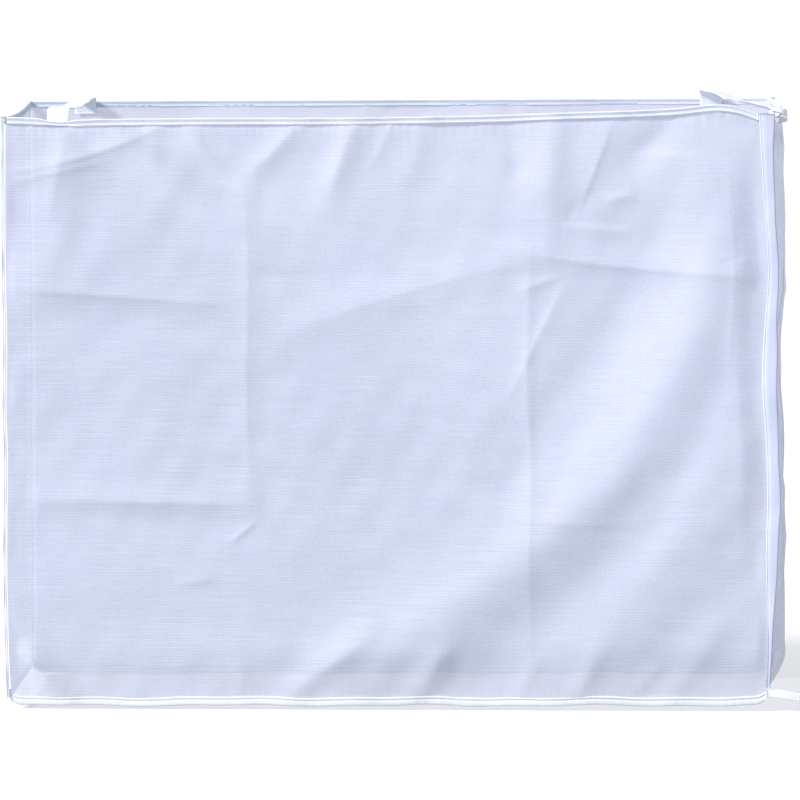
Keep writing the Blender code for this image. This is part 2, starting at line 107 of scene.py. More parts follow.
# Finer creases over those folds. Power 1 is a knife edge and 2 is round, and a height under 0 is
# a trough. Upper is the width of the upper or left flank, lower that of the other one.
Crease = namedtuple("Crease", "name start bend end height upper lower power")
FRONT_CREASES = rows_of(
    Crease,
    ("corner line one", (0.003, 0.064), (0.100, 0.050), (0.178, 0.011), 0.0017, 0.007, 0.0040, 1.3),
    ("corner line two", (0.003, 0.075), (0.048, 0.064), (0.121, 0.048), 0.0011, 0.003, 0.0060, 1.3),
    ("upper left", (0.001, 0.193), (0.099, 0.201), (0.268, 0.214), 0.0020, 0.013, 0.0050, 1.2),
    ("left press", (0.271, 0.090), (0.273, 0.260), (0.271, 0.440), 0.0007, 0.006, 0.0040, 1.2),
    ("lower left", (0.048, 0.432), (0.160, 0.436), (0.274, 0.437), 0.0013, 0.008, 0.0040, 1.2),
    ("lower right", (0.560, 0.453), (0.620, 0.459), (0.713, 0.460), 0.0009, 0.008, 0.0040, 1.2),
    ("small ridge", (0.253, 0.480), (0.266, 0.470), (0.281, 0.457), 0.0016, 0.006, 0.0040, 1.4),
    ("low crease", (0.189, 0.528), (0.212, 0.526), (0.235, 0.522), 0.0012, 0.008, 0.0050, 1.4),
    ("middle ridge", (0.587, 0.166), (0.494, 0.177), (0.319, 0.243), 0.0007, 0.009, 0.0050, 1.3),
    ("right press", (0.587, 0.156), (0.592, 0.290), (0.589, 0.615), 0.0008, 0.007, 0.0040, 1.2),
    ("upper right", (0.586, 0.154), (0.680, 0.172), (0.850, 0.181), 0.0020, 0.010, 0.0035, 1.2),
    ("tent edge one", (0.580, 0.196), (0.600, 0.186), (0.628, 0.179), 0.0018, 0.008, 0.0060, 1.3),
    ("tent edge two", (0.631, 0.179), (0.606, 0.240), (0.568, 0.320), 0.0014, 0.006, 0.0120, 1.2),
    ("sharp diagonal", (0.690, 0.003), (0.668, 0.062), (0.638, 0.122), 0.0016, 0.010, 0.0050, 1.2),
    ("dark streak", (0.764, 0.002), (0.732, 0.034), (0.698, 0.060), -0.0030, 0.014, 0.0300, 1.8),
    ("crumple one", (0.676, 0.096), (0.690, 0.090), (0.712, 0.088), 0.0018, 0.006, 0.0080, 1.5),
    ("crumple two", (0.627, 0.122), (0.668, 0.126), (0.705, 0.129), 0.0022, 0.004, 0.0160, 1.3),
    ("crumple three", (0.634, 0.118), (0.646, 0.102), (0.662, 0.082), -0.0018, 0.010, 0.0100, 1.8),
    ("blob", (0.700, 0.046), (0.745, 0.042), (0.790, 0.050), 0.0014, 0.006, 0.0200, 1.6),
    ("dark patch", (0.572, 0.020), (0.577, 0.045), (0.580, 0.075), -0.0020, 0.014, 0.0140, 1.8),
    ("right edge", (0.819, 0.050), (0.817, 0.180), (0.820, 0.300), 0.0012, 0.016, 0.0060, 1.4),
    ("hem pleat one", (0.208, 0.001), (0.214, 0.038), (0.248, 0.058), 0.0014, 0.008, 0.0080, 1.6),
    ("hem pleat two", (0.338, 0.001), (0.316, 0.031), (0.276, 0.064), 0.0018, 0.008, 0.0100, 1.6),
    ("hem pleat three", (0.398, 0.001), (0.384, 0.036), (0.366, 0.088), 0.0016, 0.009, 0.0100, 1.6),
    ("hem pleat four", (0.440, 0.001), (0.432, 0.030), (0.412, 0.060), 0.0010, 0.007, 0.0080, 1.5),
    ("hem pleat five", (0.166, 0.001), (0.172, 0.030), (0.168, 0.070), 0.0010, 0.010, 0.0100, 1.8),
    ("strap pull", (0.072, 0.004), (0.060, 0.060), (0.048, 0.120), 0.0012, 0.012, 0.0080, 1.6),
    ("low fold one", (0.392, 0.600), (0.356, 0.622), (0.322, 0.649), 0.0010, 0.010, 0.0080, 1.5),
    ("low pleat one", (0.262, 0.612), (0.263, 0.634), (0.262, 0.656), 0.0012, 0.012, 0.0120, 1.8),
    ("low pleat two", (0.492, 0.600), (0.480, 0.628), (0.472, 0.656), 0.0018, 0.014, 0.0110, 1.8),
    ("low pleat three", (0.600, 0.606), (0.588, 0.632), (0.572, 0.656), 0.0020, 0.015, 0.0120, 1.8),
    ("low pleat four", (0.668, 0.600), (0.655, 0.630), (0.640, 0.656), 0.0018, 0.014, 0.0120, 1.8),
    ("low pleat five", (0.740, 0.610), (0.722, 0.634), (0.700, 0.656), 0.0018, 0.014, 0.0120, 1.8),
)
BACK_CREASES = rows_of(
    Crease,
    ("back upper", (0.002, 0.205), (0.430, 0.210), (0.852, 0.202), 0.0022, 0.012, 0.0070, 1.2),
    ("back lower", (0.002, 0.440), (0.430, 0.446), (0.852, 0.438), 0.0022, 0.008, 0.0100, 1.2),
    ("back left", (0.268, 0.004), (0.272, 0.330), (0.268, 0.652), 0.0024, 0.008, 0.0080, 1.2),
    ("back right", (0.586, 0.004), (0.590, 0.330), (0.584, 0.652), 0.0024, 0.008, 0.0080, 1.2),
    ("back sag", (0.030, 0.120), (0.200, 0.260), (0.330, 0.560), 0.0040, 0.030, 0.0240, 1.8),
    ("back drag", (0.820, 0.080), (0.720, 0.260), (0.700, 0.520), 0.0040, 0.030, 0.0240, 1.8),
)
# On a side, across runs from the front seam back
SIDE_CREASES = rows_of(
    Crease,
    ("side upper", (0.004, 0.204), (0.160, 0.208), (0.316, 0.204), 0.0018, 0.010, 0.0060, 1.2),
    ("side lower", (0.004, 0.438), (0.160, 0.442), (0.316, 0.440), 0.0018, 0.007, 0.0080, 1.2),
    ("side middle", (0.158, 0.010), (0.162, 0.300), (0.158, 0.620), 0.0020, 0.008, 0.0080, 1.3),
    ("side fold one", (0.060, 0.020), (0.080, 0.250), (0.050, 0.560), 0.0035, 0.022, 0.0180, 1.8),
    ("side fold two", (0.240, 0.060), (0.215, 0.320), (0.250, 0.600), 0.0040, 0.024, 0.0200, 1.8),
    ("side drag", (0.030, 0.600), (0.120, 0.500), (0.260, 0.430), 0.0030, 0.016, 0.0140, 1.7),
)

# How folds and creases fade: the share of a half wave left off at each end, and a power
FOLD_ENDS, FOLD_FADE = 0.12, 0.7
CREASE_ENDS, CREASE_FADE = 0.02, 0.6

# Heights along edges and widths down seams, as in the source
Stop = namedtuple("Stop", "at value")
TOP_EDGE_FRONT = rows_of(
    Stop,
    (0.000, -0.0006), (0.035, -0.0020), (0.060, -0.0044), (0.105, -0.0030), (0.220, -0.0019),
    (0.390, -0.0013), (0.500, 0.0004), (0.560, 0.0016), (0.630, 0.0046), (0.716, 0.0072),
    (0.765, 0.0098), (0.806, 0.0138), (0.829, 0.0118), (0.855, 0.0036),
)
LEFT_SEAM = rows_of(
    Stop,
    (0.000, -0.0004), (0.150, -0.0010), (0.260, 0.0000), (0.330, -0.0010), (0.385, 0.0002),
    (0.500, -0.0012), (0.600, 0.0000), (0.665, 0.0016),
)
RIGHT_SEAM = rows_of(
    Stop,
    (0.000, -0.0095), (0.060, -0.0058), (0.146, 0.0000), (0.184, 0.0008), (0.271, -0.0052),
    (0.320, -0.0045), (0.376, -0.0006), (0.433, 0.0004), (0.500, -0.0010), (0.592, 0.0016),
    (0.665, -0.0006),
)
RIGHT_BULGE = rows_of(
    Stop,
    (0.000, 0.0180), (0.045, 0.0210), (0.075, 0.0188), (0.190, 0.0182), (0.271, 0.0142),
    (0.376, 0.0176), (0.433, 0.0168), (0.560, 0.0190), (0.625, 0.0185), (0.665, 0.0150),
)
LEFT_BULGE = rows_of(
    Stop,
    (0.000, 0.000), (0.200, -0.006), (0.420, -0.003), (0.560, -0.007), (0.665, 0.000),
)
SWELL_POWER = 0.6
SIDE_SAG = 0.004
SideHem = namedtuple("SideHem", "corner middle")
LEFT_HEM = SideHem(0.006, 0.009)
RIGHT_HEM = SideHem(0.020, 0.040)

# The hem's slow waves, as in the source: height, radians a metre and start
HemWave = namedtuple("HemWave", "size turns start")
HEM_WAVES = (HemWave(0.0008, 31.0, 0.0), HemWave(0.0006, 67.0, 1.0))

# Corner seams, as in the source
PIPING = (Stop(0.000, 0.0042), Stop(0.665, 0.0042))
WIDE_TAPE = rows_of(
    Stop,
    (0.000, 0.0190), (0.055, 0.0143), (0.150, 0.0125), (0.229, 0.0145), (0.275, 0.0185),
    (0.376, 0.0150), (0.433, 0.0162), (0.500, 0.0143), (0.550, 0.0095), (0.595, 0.0050),
    (0.645, 0.0036),
)
BACK_TAPE = (Stop(0.000, 0.0080), Stop(0.665, 0.0080))
Corner = namedtuple("Corner", "name x_side y_side low_end out_angle start widths")
CORNERS = rows_of(
    Corner,
    ("seam_front_left", -1, -1, 0.006, math.radians(172), 0.0013, PIPING),
    ("seam_front_right", 1, -1, 0.021, math.radians(-22), 0.0005, WIDE_TAPE),
    ("seam_back_right", 1, 1, 0.006, math.radians(45), 0.0013, BACK_TAPE),
    ("seam_back_left", -1, 1, 0.006, math.radians(135), 0.0013, BACK_TAPE),
)

# Straps and the ribbon, as in the source
Station = namedtuple("Station", "x y z width roll")
LEFT_STRAP_X = -WIDTH / 2 + 0.059
LEFT_STRAP_BACK_X = LEFT_STRAP_X + 0.005
RIGHT_STRAP_X = WIDTH / 2 - 0.0665
STRAP_WIDTH = 0.025
STRAP_IN = DEPTH / 2 - TOP_BAND_THICK / 2 - GAP - STRAP_THICK / 2
LEFT_STRAP = rows_of(
    Station,
    (LEFT_STRAP_X, -STRAP_IN, -0.0150, STRAP_WIDTH, 0.0),
    (LEFT_STRAP_X, -STRAP_IN, -0.0060, STRAP_WIDTH, 0.0),
    (LEFT_STRAP_X, -STRAP_IN + 0.0035, 0.0040, STRAP_WIDTH, 0.0),
    (LEFT_STRAP_X, -0.1400, 0.0078, STRAP_WIDTH, 0.0),
    (LEFT_STRAP_X + 0.001, -0.1050, 0.0066, STRAP_WIDTH, 0.08),
    (LEFT_STRAP_X + 0.002, -0.0300, 0.0024, STRAP_WIDTH, 0.0),
    (LEFT_STRAP_X + 0.004, 0.0600, 0.0026, STRAP_WIDTH, -0.06),
    (LEFT_STRAP_BACK_X, 0.1300, 0.0042, STRAP_WIDTH, 0.0),
    (LEFT_STRAP_BACK_X, STRAP_IN - 0.0035, 0.0022, STRAP_WIDTH, 0.0),
    (LEFT_STRAP_BACK_X, STRAP_IN, -0.0060, STRAP_WIDTH, 0.0),
    (LEFT_STRAP_BACK_X, STRAP_IN, -0.0150, STRAP_WIDTH, 0.0),
)
RIGHT_STRAP = rows_of(
    Station,
    (0.4375, -0.1345, 0.0035, 0.010, 0.90),
    (0.4290, -0.1060, 0.0072, 0.015, 0.60),
    (0.4120, -0.0580, 0.0082, 0.021, 0.34),
    (0.3930, 0.0200, 0.0080, STRAP_WIDTH, 0.22),
    (0.3740, 0.0950, 0.0112, STRAP_WIDTH, 0.20),
    (RIGHT_STRAP_X, 0.1380, 0.0120, STRAP_WIDTH, 0.12),
    (RIGHT_STRAP_X, STRAP_IN - 0.0030, 0.0070, STRAP_WIDTH, 0.0),
    (RIGHT_STRAP_X, STRAP_IN, -0.0050, STRAP_WIDTH, 0.0),
    (RIGHT_STRAP_X, STRAP_IN, -0.0150, STRAP_WIDTH, 0.0),
)
TIE = rows_of(
    Station,
    (0.4290, -0.1534, -0.6510, 0.0086, 0.0),
    (0.4390, -0.1550, -0.6508, 0.0090, 0.0),
    (0.4520, -0.1585, -0.6522, 0.0090, 0.10),
    (0.4642, -0.1600, -0.6545, 0.0090, 0.15),
)
KNOT_AT = (0.4400, -0.1440, 0.0000)
KNOT_RADII = (0.0115, 0.0085, 0.0095)
KNOT_RIPPLE = 0.16

# Steps of the fine meshes
FRONT_COLUMNS, FRONT_ROWS = 370, 255
BACK_COLUMNS, BACK_ROWS = 190, 140
SIDE_COLUMNS, SIDE_ROWS = 80, 160
BAND_STEP = 0.0024
TAPE_ROWS = 260
RIBBON_STEP = 0.0022

# How far the mesh reaches in under each binding
TUCK = 0.0030
# How near a panel's side edges its creases and its gathers fade out
CREASE_EDGE = 0.012
GATHER_EDGE = 0.006

# Soft unevenness of the cloth, as heights and pitches of its broad and its small waves
Uneven = namedtuple("Uneven", "broad broad_pitch small small_pitch")
WIDE_UNEVEN = Uneven(0.0011, 0.150, 0.00035, 0.046)
SIDE_UNEVEN = Uneven(0.0012, 0.110, 0.0004, 0.040)
SMALL_WAVES = 9

# Small gathers where the mesh is sewn into a binding. They sway, and their height varies.
GATHER_PITCH = 0.0120
GATHER_SWAY, GATHER_SWAY_PITCH = 4.5, 0.060
GATHER_VARIES, GATHER_VARIES_PITCH = 0.3, 0.085
TOP_GATHER, TOP_GATHER_REACH = 0.0004, 0.012
BOTTOM_GATHER, BOTTOM_GATHER_REACH = 0.00012, 0.020

# How far the mesh lies back where it comes out from under a binding
RECESS, RECESS_REACH = 0.0012, 0.003

# Stitches in the bindings
STITCH_PITCH = 0.0034
STITCH_LENGTH = 0.0024
STITCH_RADIUS = 0.00028
STITCH_SIDES = 6
StitchRing = namedtuple("StitchRing", "reach fat")
STITCH_RINGS = rows_of(
    StitchRing,
    (-0.50, 0.25), (-0.36, 1.00), (0.36, 1.00), (0.50, 0.25),
)

# The threads of the mesh
THREAD_PITCH = 0.0018

MATERIALS = {}


def smooth_step(share):
    share = np.clip(share, 0.0, 1.0)
    return share * share * (3 - 2 * share)


def along(stops, at):
    """The values of a table at places, on a smooth curve through its rows."""
    places = np.array([stop.at for stop in stops])
    values = np.array([stop.value for stop in stops])
    last = len(stops) - 1
    at = np.clip(at, places[0], places[-1])
    row = np.clip(np.searchsorted(places, at, side="right") - 1, 0, last - 1)
    before, after = np.maximum(row - 1, 0), np.minimum(row + 2, last)
    low, high = values[row], values[row + 1]
    span = places[row + 1] - places[row]
    t = (at - places[row]) / span
    slope_low = (high - values[before]) / (places[row + 1] - places[before])
    slope_high = (values[after] - low) / (places[after] - places[row])
    bend = (t - 2 * t**2 + t**3) * slope_low + (t**3 - t**2) * slope_high
    return low + (high - low) * smooth_step(t) + bend * span


def curve_points(row):
    """The points of a fold's line, a curve that leans towards its bend."""
    points = []
    for step in range(FOLD_POINTS + 1):
        t = step / FOLD_POINTS
        weights = ((1 - t) ** 2, 2 * t * (1 - t), t * t)
        ends = (row.start, row.bend, row.end)
        points.append(tuple(sum(w * p[k] for w, p in zip(weights, ends)) for k in (0, 1)))
    return points


def near_line(row, across, down):
    """At each place, the distance to a fold's line, the share of the line, and how much the
    place is on the line's upper or left side, 1, or the other one, 0."""
    points = curve_points(row)
    nearest = np.full(across.shape, np.inf)
    place = np.zeros(across.shape)
    upper = np.zeros(across.shape)
    for index, (a, b) in enumerate(zip(points, points[1:])):
        run = (b[0] - a[0], b[1] - a[1])
        reach = ((across - a[0]) * run[0] + (down - a[1]) * run[1]) / (run[0] ** 2 + run[1] ** 2)
        share = np.clip(reach, 0.0, 1.0)
        off_across = across - a[0] - share * run[0]
        off_down = down - a[1] - share * run[1]
        distance = np.hypot(off_across, off_down)
        side = (run[1] * off_across - run[0] * off_down) / math.hypot(*run)
        lean = (side if run[0] > 0 else -side) / np.maximum(distance, 1e-9)
        closer = distance < nearest
        nearest = np.where(closer, distance, nearest)
        place = np.where(closer, (index + share) / FOLD_POINTS, place)
        upper = np.where(closer, 0.5 + 0.5 * lean, upper)
    return nearest, place, upper


def fold_relief(folds, across, down):
    """The main folds, nothing at the corner seams, as in the source."""
    total = np.zeros(across.shape)
    for fold in folds:
        distance, place, upper = near_line(fold, across, down)
        width = fold.steep + (fold.wide - fold.steep) * upper
        fade = np.sin(np.pi * (FOLD_ENDS + (1 - 2 * FOLD_ENDS) * place)) ** FOLD_FADE
        total += fold.height * fade * np.exp(-((distance / width) ** 2))
    return total * smooth_step(np.minimum(across, WIDTH - across) / EDGE_FADE)


def crease_relief(creases, across, down):
    """Sharper creases, fading towards their ends."""
    total = np.zeros(across.shape)
    for crease in creases:
        distance, place, upper = near_line(crease, across, down)
        width = crease.lower + (crease.upper - crease.lower) * upper
        fade = np.sin(np.pi * (CREASE_ENDS + (1 - 2 * CREASE_ENDS) * place)) ** CREASE_FADE
        total += crease.height * fade * np.exp(-((distance / width) ** crease.power))
    return total


def ripples(across, down, seed, pitch, count=7, spread=math.pi):
    """Soft waves of about one pitch, crossing each other, about 1 high at most."""
    draw = np.random.default_rng(seed)
    total = np.zeros(across.shape)
    for _ in range(count):
        angle = (draw.random() - 0.5) * spread
        length = pitch * (0.7 + 0.6 * draw.random())
        phase = draw.random() * 2 * np.pi
        run = across * np.cos(angle) + down * np.sin(angle)
        total += np.sin(2 * np.pi * run / length + phase)
    return total / count**0.5 / 1.5


def gathers(across, from_top, from_bottom, seed):
    """Small upright gathers beside the bindings."""
    bend = ripples(across, 0.0, seed, GATHER_SWAY_PITCH, 5, 0.5)
    wave = np.sin(2 * np.pi * across / GATHER_PITCH + GATHER_SWAY * bend)
    varied = ripples(across, 0.0, seed + 1, GATHER_VARIES_PITCH, 5, 0.5)
    size = 1 - GATHER_VARIES + GATHER_VARIES * varied
    top = TOP_GATHER * np.exp(-from_top / TOP_GATHER_REACH)
    bottom = BOTTOM_GATHER * np.exp(-from_bottom / BOTTOM_GATHER_REACH)
    return wave * size * (top + bottom)


def drawn_in(down):
    return DRAWN_IN * smooth_step((down - HEIGHT + DRAWN_HEIGHT) / DRAWN_HEIGHT)


def seam_x(x_side, down, front):
    if not front:
        return x_side * WIDTH / 2 + down * 0
    table = LEFT_SEAM if x_side < 0 else RIGHT_SEAM
    return x_side * WIDTH / 2 + along(table, down)


def seam_y(y_side, down):
    return y_side * (DEPTH / 2 - drawn_in(down))


def top_edge(across, front):
    if front:
        return along(TOP_EDGE_FRONT, across)
    share = across / WIDTH
    return TOP_EDGE_FRONT[0].value + (TOP_EDGE_FRONT[-1].value - TOP_EDGE_FRONT[0].value) * share


def bottom_edge(across):
    wave = sum(row.size * np.sin(across * row.turns + row.start) for row in HEM_WAVES)
    edge = np.minimum(across, WIDTH - across)
    rise = CORNER_RISE * (1 - np.minimum(edge / CORNER_REACH, 1.0)) ** 2
    tilt = HEM_TILT * (across / WIDTH - HEM_LEVEL_AT)
    return -HEIGHT + wave + rise + tilt


def wide_point(front, share, height, fine=0.0):
    """Points on the front or the back panel, a fine relief further out."""
    down = -height
    across = share * WIDTH
    left = seam_x(-1, down, front) + GAP
    right = seam_x(1, down, front) - GAP
    x = left + (right - left) * share
    y_side = -1 if front else 1
    out = fold_relief(FRONT_FOLDS if front else BACK_FOLDS, across, down) + fine
    return np.stack([x, seam_y(y_side, down) + y_side * out, height], axis=-1)


def side_point(x_side, share, height, fine=0.0):
    """Points on a side panel, which stands out between its two seams."""
    down = -height
    table = LEFT_BULGE if x_side < 0 else RIGHT_BULGE
    clear = BOTTOM_BAND_THICK / 2 + GAP
    front_y = seam_y(-1, down) + clear
    back_y = seam_y(1, down) - clear
    front_x = seam_x(x_side, down, True)
    back_x = seam_x(x_side, down, False)
    swell = along(table, down) * np.abs(np.sin(np.pi * share)) ** SWELL_POWER
    x = front_x + (back_x - front_x) * share + x_side * (swell + fine)
    return np.stack([x, front_y + (back_y - front_y) * share, height], axis=-1)


def side_top(x_side, share):
    across = 0.0 if x_side < 0 else WIDTH
    front, back = top_edge(across, True), top_edge(across, False)
    return front + (back - front) * share - SIDE_SAG * np.sin(np.pi * share)


def side_bottom(x_side, share):
    hem = LEFT_HEM if x_side < 0 else RIGHT_HEM
    lift = np.abs(np.sin(np.pi * share)) ** SWELL_POWER
    return -HEIGHT + hem.corner + (hem.middle - hem.corner) * lift


def add_object(name, data):
    made = bpy.data.objects.new(name, data)
    bpy.context.scene.collection.objects.link(made)
    return made


def add_mesh(name, points, faces, places, slot):
    """A smooth mesh with a UV map in metres, given for each corner of each face."""
    mesh = bpy.data.meshes.new(name)
    mesh.from_pydata(points, [], faces)
    uv_map = mesh.uv_layers.new(name="cloth")
    uv_map.data.foreach_set("uv", np.asarray(places, dtype=np.float32).ravel())
    mesh.shade_smooth()
    mesh.materials.append(MATERIALS[slot])
    mesh.validate()
    piece = add_object(name, mesh)
    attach(piece, "root")
    return piece


def grid_faces(rows, columns, closed):
    """The quads over a grid of points, and which row and column each corner has."""
    width = columns if closed else columns - 1
    i, j = np.meshgrid(np.arange(rows - 1), np.arange(width), indexing="ij")
    i, j = i.ravel(), j.ravel()
    corner_rows = np.stack([i, i + 1, i + 1, i], axis=1)
    corner_columns = np.stack([j, j, j + 1, j + 1], axis=1)
    faces = corner_rows * columns + corner_columns % columns
    return faces, corner_rows, corner_columns


def skin(name, grid, run, reach, slot, closed=False, flip=False):
    """A mesh over a grid of points. Run and reach are its lengths in metres along each way.
    A closed one goes round in its second way, and its two ends are capped."""
    rows, columns = grid.shape[:2]
    faces, at_row, at_column = grid_faces(rows, columns, closed)
    places = np.stack([run[at_row], reach[at_column]], axis=-1)
    faces = faces.tolist()
    places = places.reshape(-1, 2).tolist()
    if closed:
        faces.append(list(range(columns))[::-1])
        faces.append([(rows - 1) * columns + k for k in range(columns)])
        places += [(run[0], value) for value in reach[:columns]][::-1]
        places += [(run[-1], value) for value in reach[:columns]]
    piece = add_mesh(name, grid.reshape(-1, 3).tolist(), faces, places, slot)
    if flip:
        piece.data.flip_normals()
    return piece


def lengths_along(points):
    """The length from the first of a row of points to each."""
    steps = np.linalg.norm(np.diff(points, axis=0), axis=1)
    return np.concatenate([[0.0], np.cumsum(steps)])


def joined(name, pieces):
    """Several objects as one mesh."""
    first = pieces[0]
    with bpy.context.temp_override(active_object=first, selected_editable_objects=pieces):
        bpy.ops.object.join()
    first.name = name
    first.data.name = name
    return first


def cloth_panel(name, point, bottom, top, columns, rows, relief, size, seed, flip):
    """One mesh panel, from inside its bottom binding to inside its top one."""
    share, rise = np.meshgrid(
        np.linspace(0.0, 1.0, columns + 1), np.linspace(0.0, 1.0, rows + 1), indexing="ij"
    )
    low = bottom(share) + BOTTOM_BAND - TUCK
    high = top(share) - TOP_BAND + TUCK
    height = low + (high - low) * rise
    across = share * size
    edge = np.minimum(across, size - across)
    fine = relief(across, -height) * smooth_step(edge / CREASE_EDGE)
    gathered = gathers(across, high - height, height - low, seed)
    fine += gathered * smooth_step(edge / GATHER_EDGE)
    fine -= RECESS * np.exp(-np.maximum(high - height - TUCK, 0.0) / RECESS_REACH)
    grid = point(share, height, fine)
    piece = skin(name, grid, across[:, 0], height[0, :], "mesh", flip=flip)
    uv = np.stack([across, height], axis=-1).reshape(-1, 2)
    corners = np.empty(len(piece.data.loops), dtype=np.int32)
    piece.data.loops.foreach_get("vertex_index", corners)
    piece.data.uv_layers["cloth"].data.foreach_set("uv", uv[corners].astype(np.float32).ravel())
    return piece


# A binding's cross-section: how far out and up each corner is, in shares of its thickness and
# height, first up the outer face and then down the inner one
Rim = namedtuple("Rim", "out up")
TOP_RIM = rows_of(
    Rim,
    (0.00, 0.00), (0.30, 0.02), (0.46, 0.08), (0.50, 0.17), (0.44, 0.26),
    (0.25, 0.33), (0.20, 0.50), (0.25, 0.66), (0.44, 0.74), (0.50, 0.84),
    (0.46, 0.93), (0.28, 0.99), (0.00, 1.00), (-0.30, 0.98), (-0.48, 0.88),
    (-0.46, 0.74), (-0.30, 0.66), (-0.28, 0.36), (-0.46, 0.28), (-0.48, 0.12),
    (-0.30, 0.02),
)
BOTTOM_RIM = rows_of(
    Rim,
    (0.00, 0.00), (0.26, 0.01), (0.42, 0.06), (0.50, 0.16), (0.50, 0.34),
    (0.46, 0.50), (0.36, 0.60), (0.22, 0.655), (0.22, 0.70), (0.38, 0.75),
    (0.46, 0.83), (0.42, 0.92), (0.26, 0.98), (0.00, 1.00), (-0.28, 0.97),
    (-0.44, 0.88), (-0.44, 0.76), (-0.26, 0.69), (-0.44, 0.60), (-0.50, 0.40),
    (-0.50, 0.14), (-0.30, 0.02),
)


# The front top casing is pinched narrower where the left strap pulls on it
PINCH_AT = 0.059
PINCH_REACH = 0.017
PINCH = 0.40

# How a casing's thickness and height vary along it, in slow swings and in quick puckers
SWING_PITCH, PUCKER_PITCH = 0.034, 0.0085
SWING_THICK, PUCKER_THICK, SWING_TALL = 0.10, 0.07, 0.03

# The rows of stitches on a casing: how far up it and how far out, in shares of its size
TOP_STITCHES = ((0.35, 0.25), (0.64, 0.25))
BOTTOM_STITCHES = ((0.68, 0.23),)


def binding(name, point, low, tall, size, outward, thick, rims, stitch_rows, seed, slot, pinch=0):
    """A tape casing round an edge, slightly puckered, with rows of stitches on both faces."""
    columns = int(size / BAND_STEP)
    share = np.linspace(0.0, 1.0, columns + 1)
    across = share * size
    swing = ripples(across, 0.0, seed, SWING_PITCH, 6, 0.6)
    pucker = ripples(across, 0.0, seed + 1, PUCKER_PITCH, 6, 0.6)
    base = low(share)
    fuller = 1.0 + SWING_THICK * swing + PUCKER_THICK * pucker
    pinched = pinch * np.exp(-(((across - PINCH_AT) / PINCH_REACH) ** 4))
    taller = tall * (1.0 + SWING_TALL * swing - pinched)
    rings = []
    for rim in rims:
        height = base + (tall - taller) / 2 + rim.up * taller
        out = np.multiply.outer(rim.out * thick * fuller, np.asarray(outward))
        rings.append(point(share, height) + out)
    grid = np.stack(rings, axis=1)
    around = lengths_along(np.array([(rim.out * thick, rim.up * tall) for rim in rims + rims[:1]]))
    casing = skin(name, grid, across, around, slot, closed=True, flip=outward[0] + outward[1] < 0)
    threads = stitches(name, point, base, across, size, outward, thick, tall, stitch_rows)
    return joined(name, [casing, threads])


def stitches(name, point, base, across, size, outward, thick, tall, stitch_rows):
    """Rows of short threads that lie on both faces of a binding, as one mesh."""
    count = int(size / STITCH_PITCH)
    middles = (np.arange(count) + 0.5) * STITCH_PITCH + (size - count * STITCH_PITCH) / 2
    reach = np.array([end.reach for end in STITCH_RINGS])
    fat = np.array([end.fat for end in STITCH_RINGS]) * STITCH_RADIUS
    turns = np.arange(STITCH_SIDES) * 2 * np.pi / STITCH_SIDES
    share = (middles[:, None] + reach * STITCH_LENGTH) / size
    sunk = (np.abs(reach) * 2) ** 3 * STITCH_RADIUS
    blocks = []
    for up, out in stitch_rows:
        centre = point(share, np.interp(share * size, across, base) + up * tall)
        for face in (1, -1):
            off = face * (out * thick + STITCH_RADIUS * 0.5 - sunk)
            push = off[:, None] + np.multiply.outer(fat, np.cos(turns))
            rise = np.multiply.outer(fat, np.sin(turns))
            ring = np.multiply.outer(push, np.asarray(outward))
            ring[..., 2] += rise
            blocks.append((centre[:, :, None, :] + ring).reshape(-1, 3))
    points = np.concatenate(blocks)
    rings = len(STITCH_RINGS)
    around, _, _ = grid_faces(rings, STITCH_SIDES, True)
    size_of_one = rings * STITCH_SIDES
    starts = np.arange(len(points) // size_of_one) * size_of_one
    walls = (starts[:, None, None] + around).reshape(-1, 4).tolist()
    first = starts[:, None] + np.arange(STITCH_SIDES)
    caps = first[:, ::-1].tolist() + (first + (rings - 1) * STITCH_SIDES).tolist()
    faces = walls + caps
    places = np.zeros((sum(len(face) for face in faces), 2))
    return add_mesh(name + "_threads", points.tolist(), faces, places, "binding")


def bound_panel(word, point, top, bottom, size, steps, creases, uneven, seed, outward, pinch=0):
    """One mesh panel between its top and its bottom casing."""

    def relief(across, down):
        soft = uneven.broad * ripples(across, down, seed, uneven.broad_pitch)
        small = uneven.small * ripples(across, down, seed + 1, uneven.small_pitch, SMALL_WAVES)
        return crease_relief(creases, across, down) + soft + small

    columns, rows = steps
    flip = outward[0] < 0 or outward[1] > 0
    cloth = cloth_panel(
        "cloth_" + word, point, bottom, top, columns, rows, relief, size, seed + 2, flip
    )
    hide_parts("panel_" + word)
    top_casing = binding(
        "top_casing_" + word, point, lambda share: top(share) - TOP_BAND, TOP_BAND, size,
        outward, TOP_BAND_THICK, TOP_RIM, TOP_STITCHES, seed + 3, "hem", pinch,
    )
    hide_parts("top_binding_" + word)
    bottom_casing = binding(
        "bottom_casing_" + word, point, bottom, BOTTOM_BAND, size,
        outward, BOTTOM_BAND_THICK, BOTTOM_RIM, BOTTOM_STITCHES, seed + 5, "binding",
    )
    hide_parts("bottom_binding_" + word)
    return cloth, [top_casing, bottom_casing]


def wide_set(front):
    """The front or the back panel with its bindings."""

    def point(share, height, fine=0.0):
        return wide_point(front, share, height, fine)

    def top(share):
        return top_edge(share * WIDTH, front)

    def bottom(share):
        return bottom_edge(share * WIDTH)

    if front:
        return bound_panel(
            "front", point, top, bottom, WIDTH, (FRONT_COLUMNS, FRONT_ROWS), FRONT_CREASES,
            WIDE_UNEVEN, 10, (0.0, -1.0, 0.0), PINCH,
        )
    return bound_panel(
        "back", point, top, bottom, WIDTH, (BACK_COLUMNS, BACK_ROWS), BACK_CREASES,
        WIDE_UNEVEN, 20, (0.0, 1.0, 0.0),
    )


